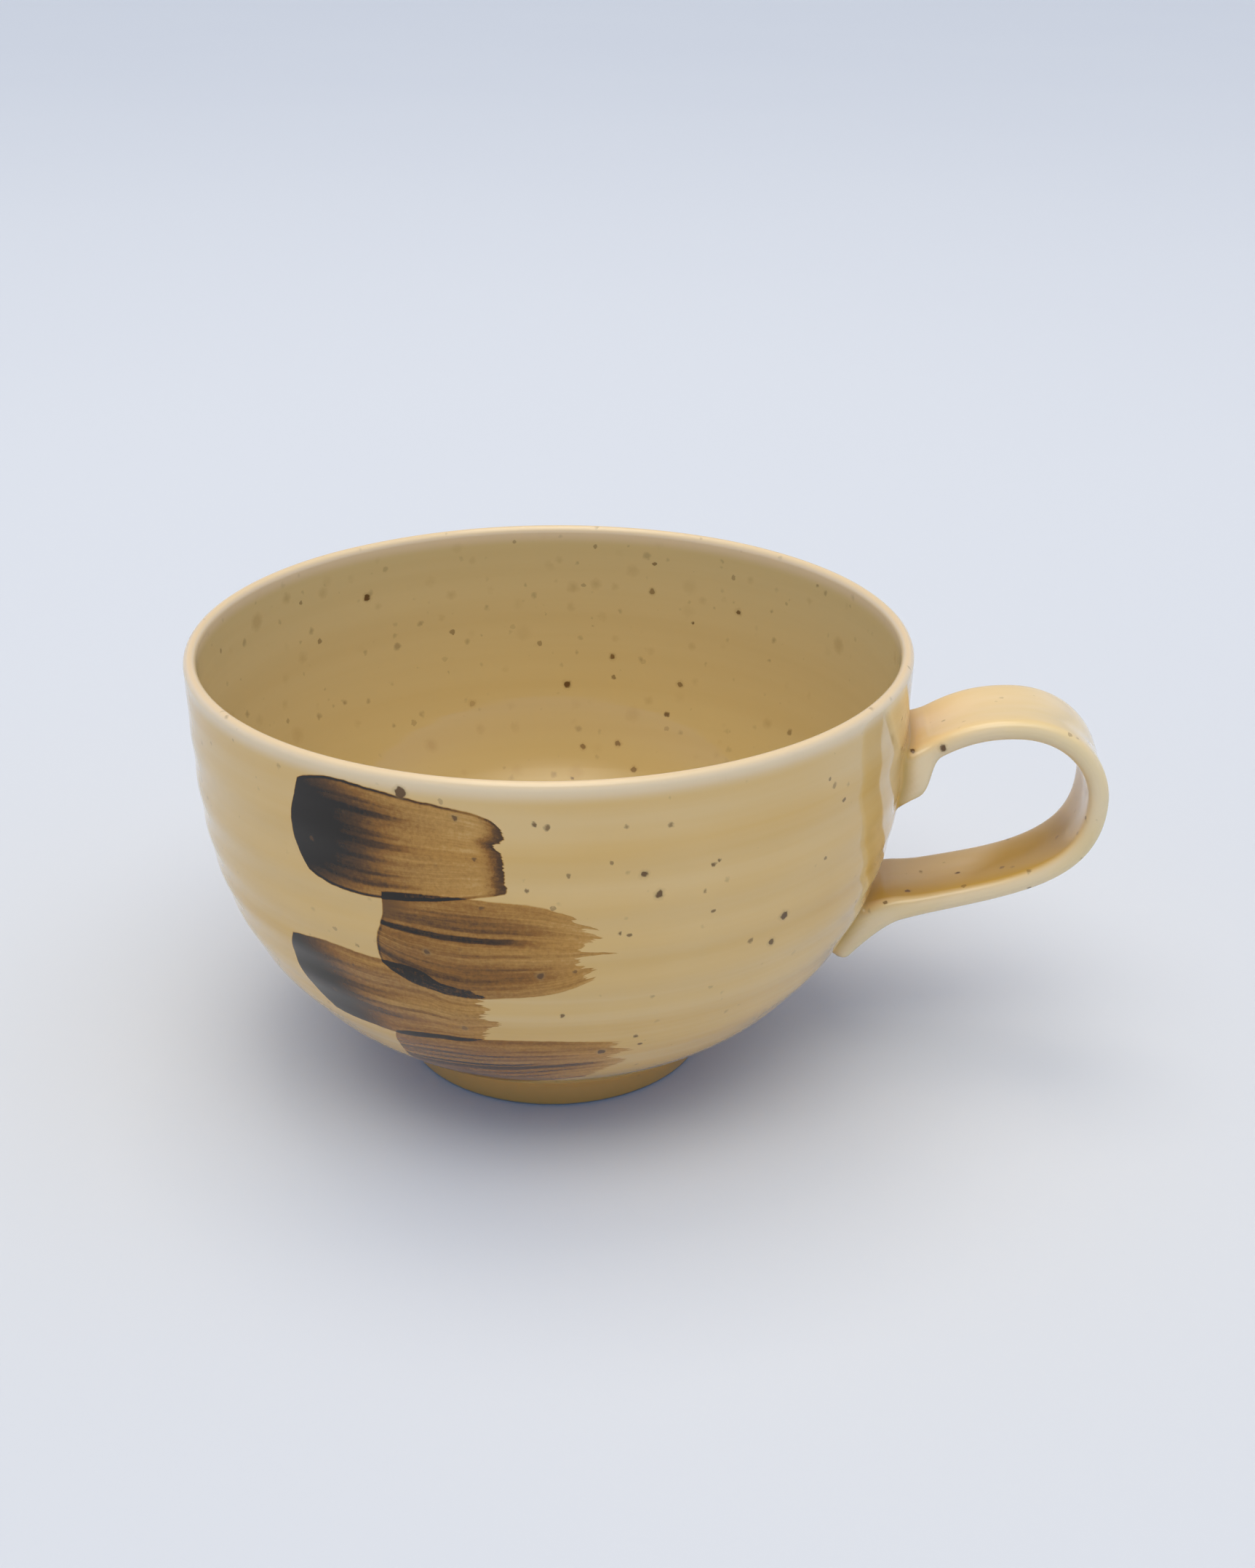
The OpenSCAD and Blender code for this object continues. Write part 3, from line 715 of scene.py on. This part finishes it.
def swipe_wash(m, swipe, angle, z, mm_per_degree, grain):
    """How thick one swipe of iron wash lies, from 0 to 1."""
    seed = swipe["seed"]
    gain, reach = streak_lines(swipe)

    def curve(line, value, lo, hi):
        bend = [(at, (height - lo) / (hi - lo)) for at, height in line]
        shape = m.add("ShaderNodeFloatCurve", {"bend": bend}, {"Value": value})
        return shape.math("MULTIPLY_ADD", hi - lo, lo)

    def along(key, lo, hi):
        return curve([((a - first) / (last - first), height) for a, height in swipe[key]], t, lo, hi)

    def up(line):
        return curve(line, v, min(a for _, a in line) - 1, max(a for _, a in line) + 1)

    first, last = swipe["span"]
    t = m.add("ShaderNodeMapRange", None, {"Value": angle, "From Min": first, "From Max": last})
    top, low_edge = along("top", 0, HEIGHT_SPAN), along("low", 0, HEIGHT_SPAN)
    v = clamp01((z - low_edge) / (top - low_edge))
    # fine lines along the stroke, and the coarser bristles that leave the torn end
    hair_at = m.xyz(v.math("MULTIPLY_ADD", HAIRS, seed), angle * HAIR_DRIFT, seed)
    bristle_at = m.xyz(v.math("MULTIPLY_ADD", BRISTLES, seed * 7), angle * BRISTLE_DRIFT, seed)
    hair = cloud(m, hair_at, 1.0, 5.0, 0.7) - 0.5
    bristle = cloud(m, bristle_at, 1.0, 1.0) - 0.5
    tips = clamp01(1 - size_of(bristle) * 6)
    d_left = (angle - up(swipe["left"])) * mm_per_degree
    d_right = (up(swipe["right"]) + tips * (2 * swipe["ragged"]) - swipe["ragged"] - angle) * mm_per_degree
    # how far inside the stroke's edges, less where the brush was dry
    inner = low(low(top - z, z - low_edge), low(d_left, d_right))
    dry = clamp01(hair * 5) * (1 - ramp01(d_right, 0, DRY_LONG)) * (0.35 * swipe["ragged"])
    cover = ramp01(inner - dry, -EDGE_SOFT, EDGE_SOFT)
    # thick where the brush was full, thin and streaky past that, darker along the rim
    past_full = angle - up(swipe["full"]) + hair * (2 * swipe["drag"])
    loaded = 1 - ramp01(past_full, -swipe["fade"] / 2, swipe["fade"] / 2)
    thin = m.add("ShaderNodeFloatCurve", {"bend": swipe["load"]}, {"Value": t})
    thin = thin + hair * swipe["contrast"] + grain
    streak = curve(gain, bristle.math("MULTIPLY_ADD", 0.04, v), 0, 1)
    thin = thin + streak * (1 - ramp01(angle - up(reach), -STREAK_FADE, 0))
    edge = 1 - ramp01(size_of(inner - RIM_IN), 0, RIM_WIDE)
    thin = thin + edge * (1 - ramp01(angle, swipe["rim_ends"] - RIM_FADE, swipe["rim_ends"])) * swipe["rim"]
    if swipe["pooled"]:
        thin = thin + (1 - ramp01(d_right + grain * 14 + hair * 4, 0, POOL_LONG)) * swipe["pooled"]
    thin = clamp01(thin)
    return (thin + (swipe["thick"] - thin) * loaded) * cover


def on_bowl(rows, radius_of):
    """Specks given by angle and height, as places."""
    out = []
    for degrees, h, size, depth in rows:
        wide, turn = float(radius_of(h, S)), math.radians(degrees)
        out.append(((wide * math.cos(turn), wide * math.sin(turn), h), size, depth))
    return out


def named_specks(m, jitter, specks):
    """How dark the larger specks of one face are, and the amber round the largest."""
    dark = stain = None
    for at, size, depth in specks:
        gap = m.vector("DISTANCE", jitter, at, out="Value")
        spot = gap.math("MULTIPLY_ADD", -1 / SPOT_EDGE, (size + SPOT_EDGE / 2) / SPOT_EDGE)
        if size > 0.4:
            stain = spot if stain is None else high(stain, spot)
        if depth < 1:
            spot = low(spot, depth)
        dark = spot if dark is None else high(dark, spot)
    stain = clamp01(stain * (SPOT_EDGE / STAIN_EDGE) + STAIN_REACH / STAIN_EDGE)
    return smooth01(dark) * 0.95, stain * 0.35


def strewn_specks(m, jitter, cell, smallest, spread, soft):
    """One speck in each cell, most of them small, each as dark as chance has it."""
    vor = m.add("ShaderNodeTexVoronoi", {"feature": "F1"},
                {"Vector": jitter, "Scale": 1 / cell, "Randomness": 1.0})
    chance, _, other = m.parts(vor.out("Color"))
    size = (chance * chance).math("MULTIPLY_ADD", spread, smallest)
    spot = clamp01(size.math("SUBTRACT", vor.out("Distance") * cell) / soft + 0.5)
    return spot * other.math("MULTIPLY_ADD", 0.7, 0.25)


def glaze_material():
    mat, m = plain_material("cream_glaze")
    place = m.scaled(m.add("ShaderNodeTexCoord", out="Object"), 1 / MM)
    x, y, z = m.parts(place)

    def given(name):
        return m.add("ShaderNodeAttribute", {"attribute_name": name}, out="Fac")

    inside, crease, strap = given("inside"), given("crease"), given("strap")
    along, across = given("along") * ALONG_UNIT, given("across") * ACROSS_UNIT
    soft = cloud(m, place, 0.035, 2.0) - 0.5
    bands = cloud(m, m.xyz(x * 0.007, y * 0.007, z * 0.2), 1.0, 3.0, 0.55) - 0.5
    wobble = m.vector("SUBTRACT", cloud(m, place, 1.1, 2.0).out("Color"), (0.5, 0.5, 0.5))
    jitter = m.vector("ADD", place, m.scaled(wobble, 0.9))
    strewn = high(strewn_specks(m, jitter, 5.6, 0.0, 0.55, 0.3),
                  strewn_specks(m, jitter, 3.3, 0.0, 0.42, 0.35) * 0.42)
    lip = ramp01(z, *LIP_BAND) * (1 - strap) * 0.9

    # turning lines and a soft swell under the gloss, rough bare clay where it stands
    bare = 1 - ramp01(z, *BARE_BAND)
    turning = sine(bands.math("MULTIPLY_ADD", 9, z * (TURN / 1.7))) * (1 - strap)
    height = cloud(m, place, 0.3, 1.0) * 0.01 + turning * 0.002 + bare * cloud(m, place, 4.0, 3.0) * 0.08
    bump = m.add("ShaderNodeBump", None, {"Strength": 0.5, "Distance": 0.001, "Height": height})
    rough = bare * BARE_ROUGH + soft * 0.03 + GLAZE_ROUGH

    def coat(colour, specks, rough):
        colour = m.mix(specks, colour, (*SPECK_BROWN, 1))
        return m.add("ShaderNodeBsdfPrincipled", None,
                     {"Base Color": colour, "Roughness": rough, "IOR": GLAZE_IOR, "Normal": bump})

    # inside: ochre, darker towards the bottom as painted shade deep in the cup, a little deeper in soft bands,
    # with broad faint freckles
    colour = m.mix(ramp01(z, *INSIDE_SHADE_DEPTH), (*SHADED_DEEP_OCHRE, 1), (*INSIDE_OCHRE, 1))
    colour = m.mix((bands * 2.2 + 0.37) * 0.16, colour, (*POOLED_AMBER, 1))
    dark, stain = named_specks(m, jitter, on_bowl(SPECKS_INSIDE, inside_r))
    freckles = strewn_specks(m, jitter, 5.2, 0.3, 1.1, 1.2) * 0.5
    colour = m.mix(lip, m.mix(high(stain, freckles), colour, (*SPECK_AMBER, 1)), (*LIP_CREAM, 1))
    faint = strewn_specks(m, jitter, 4.1, 0.05, 0.62, 0.5) * 0.5
    inner = coat(colour, high(dark, high(strewn, faint)), rough)

    # outside: throwing bands, long round the wall and short up it, plainer towards the lip
    lower = 1 - ramp01(z, *LOWER_WALL)
    yellow = clamp01(bands * (lower * 3.4 + 1.9) + soft * 0.9 + 0.42)
    wall = m.mix(yellow, (*WALL_CREAM, 1), (*WALL_YELLOW, 1))
    wall = m.mix(lip, wall, (*LIP_CREAM, 1))
    wall = m.mix((1 - ramp01(z, *FOOT_BAND)) * 0.8, wall, (*FOOT_AMBER, 1))

    # the strap: cream with soft golden patches, amber with painted shade along the lower arm's inner face, and
    # amber where glaze pools in the creases
    patches = cloud(m, m.xyz(along * 0.05, y * 0.16, across * 0.2), 1.0, 2.0) - 0.5
    on_strap = m.mix(clamp01(patches * 2.6 + 0.13) * 0.75, (*STRAP_CREAM, 1), (*STRAP_GOLD, 1))
    # the lower arm's inner face: amber glaze darkened with painted shade where the loop gives it less light and
    # reflection
    arm = ramp01(along, *ARM_COMES) * ramp01(0 - across, 0.7, 1.4)
    wide = ramp01(along, *ARM_WIDENS) * (1 - ramp01(along, *ARM_NARROWS)) * 6
    band = ramp01(wide + patches * 3 - y, -3.5, 5.5) * (1 - ramp01(0 - y, 6.1, 7.5))
    on_strap = m.mix(arm * band * 0.95, on_strap, (*ARM_AMBER_AND_SHADE, 1))
    colour = m.mix(strap, wall, on_strap)
    colour = m.mix(crease * 0.95, colour, (*POOLED_AMBER, 1))
    dark, stain = named_specks(m, jitter, SPECKS_STRAP)
    colour = m.mix(stain, colour, (*SPECK_AMBER, 1))
    plain = coat(m.mix(bare, colour, (*BARE_CLAY, 1)), high(dark, strewn), rough)

    # the front: iron wash in four swipes, thickest where two of them overlap
    ripple = cloud(m, place, 0.5, 2.0) - 0.5
    grain = (cloud(m, place, 1.7, 3.0, 0.65) - 0.5) * 0.3
    degrees = y.math("ARCTAN2", x) * (180 / math.pi)
    angle = ripple.math("MULTIPLY_ADD", 0.4, degrees)
    mm_per_degree = root(x * x + y * y) * (math.pi / 180)
    washes = [swipe_wash(m, swipe, angle, ripple.math("MULTIPLY_ADD", 0.3, z), mm_per_degree, grain)
              for swipe in SWIPES]
    total = clamp01((washes[0] + washes[1] + (washes[2] + washes[3])) * ramp01(z, 5, 6))
    colour = m.mix(1.0, wall, m.add("ShaderNodeValToRGB", {"stops": WASH}, {0: total}), "MULTIPLY")
    dark, stain = named_specks(m, jitter, on_bowl(SPECKS_OUTSIDE, outside_r))
    colour = m.mix(stain, colour, (*SPECK_AMBER, 1))
    painted = coat(m.mix(bare, colour, (*BARE_CLAY, 1)), high(dark, strewn),
                   total.math("MULTIPLY_ADD", 0.05, rough))

    front = degrees.math("GREATER_THAN", FRONT[0]) * degrees.math("LESS_THAN", FRONT[1])
    outer = m.add("ShaderNodeMixShader", None, {0: front, 1: plain, 2: painted})
    shader = m.add("ShaderNodeMixShader", None, {0: inside, 1: outer, 2: inner})
    m.add("ShaderNodeOutputMaterial", None, {"Surface": shader})
    return mat


def floor_material():
    mat, m = plain_material("pale_floor")
    place = m.add("ShaderNodeTexCoord", out="Object")
    grain = m.add("ShaderNodeTexNoise", None, {"Vector": place, "Scale": 3.0, "Detail": 2.0})
    colour = m.mix(grain, (0.71, 0.73, 0.775, 1), (0.73, 0.75, 0.785, 1))
    shader = m.add("ShaderNodeBsdfPrincipled", None, {"Base Color": colour, "Roughness": 0.9})
    m.add("ShaderNodeOutputMaterial", None, {"Surface": shader})
    return mat


# ---------------------------------------------------------------- the piece
glaze = glaze_material()
mug_mesh = finish_clay(make_clay(glaze))
mug_mesh.name = "mug_body"
mug = bpy.data.objects.new("mug_body", mug_mesh)
bpy.context.scene.collection.objects.link(mug)
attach(mug, "root")
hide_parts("mug")


# ---------------------------------------------------------------- floor, light and camera
def make_floor(half=9.0):
    mesh = bpy.data.meshes.new("floor")
    corners = [(-half, -half, 0), (half, -half, 0), (half, half, 0), (-half, half, 0)]
    mesh.from_pydata(corners, [], [(0, 1, 2, 3)])
    obj = bpy.data.objects.new("floor", mesh)
    bpy.context.scene.collection.objects.link(obj)
    mesh.materials.append(floor_material())


def area_light(name, at, toward, width, depth, power, colour):
    data = bpy.data.lights.new(name, "AREA")
    data.shape, data.size, data.size_y = "RECTANGLE", width, depth
    data.energy, data.color = power, colour
    obj = bpy.data.objects.new(name, data)
    bpy.context.scene.collection.objects.link(obj)
    obj.location = at
    obj.rotation_euler = (Vector(toward) - Vector(at)).to_track_quat("-Z", "Y").to_euler()


make_floor()
area_light("softbox_overhead", at=(-0.1, 0.25, 1.3), toward=(0, 0.05, 0), width=0.6, depth=0.6,
           power=3.5, colour=(1.0, 0.91, 0.75))

# The light tent, ring by ring from the floor up: the height at which a ring starts, as a sine,
# then the light of its front, back, left and right panels
TENT = [
    (None, (0.24, 0.50, 0.95), (0.38, 0.44, 0.54), (0.46, 0.80, 1.40), (0.46, 0.80, 1.40)),
    (0.26, (0.05, 0.16, 0.40), (0.25, 0.29, 0.38), (0.15, 0.30, 0.70), (0.19, 0.36, 0.78)),
    (0.47, (0.05, 0.11, 0.22), (0.33, 0.32, 0.33), (0.24, 0.30, 0.42), (0.50, 0.53, 0.62)),
    (0.68, (4.15, 3.95, 3.45), (0.10, 0.097, 0.088), (1.15, 1.15, 1.15), (1.10, 1.10, 1.12)),
]
RING_BLEND, TOP_BLEND = 0.16, 0.3


def light_tent():
    world = bpy.data.worlds.new("light_tent")
    bpy.context.scene.world = world
    world.use_nodes = True
    m = Maker(world.node_tree)
    dx, dy, dz = m.parts(m.vector("NORMALIZE", m.add("ShaderNodeTexCoord", out="Generated")))
    flat = root(dx * dx + dy * dy) + 0.001
    # straight overhead all four panels count alike
    even = 1 - smooth01(flat / TOP_BLEND)
    shares = [clamp01(side / flat) ** 2 * (1 - even) + even * 0.25 for side in (-dy, dy, -dx, dx)]
    starts = [1.0 if start is None else smooth01((dz - start) / RING_BLEND) for start, *_ in TENT]
    rings = [a - b for a, b in zip(starts, [*starts[1:], 0.0])]
    channels = []
    for c in range(3):
        total = None
        for ring, (_, *panels) in zip(rings, TENT):
            lit = shares[0] * panels[0][c]
            for share, panel in zip(shares[1:], panels[1:]):
                lit = lit + share * panel[c]
            total = ring * lit if total is None else total + ring * lit
        channels.append(total)
    world.node_tree.links.new(m.xyz(*channels).socket, world.node_tree.nodes["Background"].inputs["Color"])


light_tent()

# The camera, fitted to the photo's outlines
CAMERA_AT, CAMERA_TOWARD, CAMERA_ROLL = (0.03175, -0.30206, 0.18594), (-0.05829, 0.90612, -0.41898), 0.00338
camera_data = bpy.data.cameras.new("camera")
camera_data.sensor_width, camera_data.lens = 36, 46.75
camera_data.clip_start, camera_data.clip_end = 0.01, 50
camera = bpy.data.objects.new("camera", camera_data)
bpy.context.scene.collection.objects.link(camera)
forward = Vector(CAMERA_TOWARD).normalized()
level = forward.cross(Vector((0, 0, 1))).normalized()
upward = level.cross(forward)
right = level * math.cos(CAMERA_ROLL) + upward * math.sin(CAMERA_ROLL)
upward = upward * math.cos(CAMERA_ROLL) - level * math.sin(CAMERA_ROLL)
turned = Matrix((right, upward, -forward)).transposed().to_4x4()
camera.matrix_world = Matrix.Translation(CAMERA_AT) @ turned
bpy.context.scene.camera = camera
bpy.context.scene.view_settings.view_transform = "Standard"
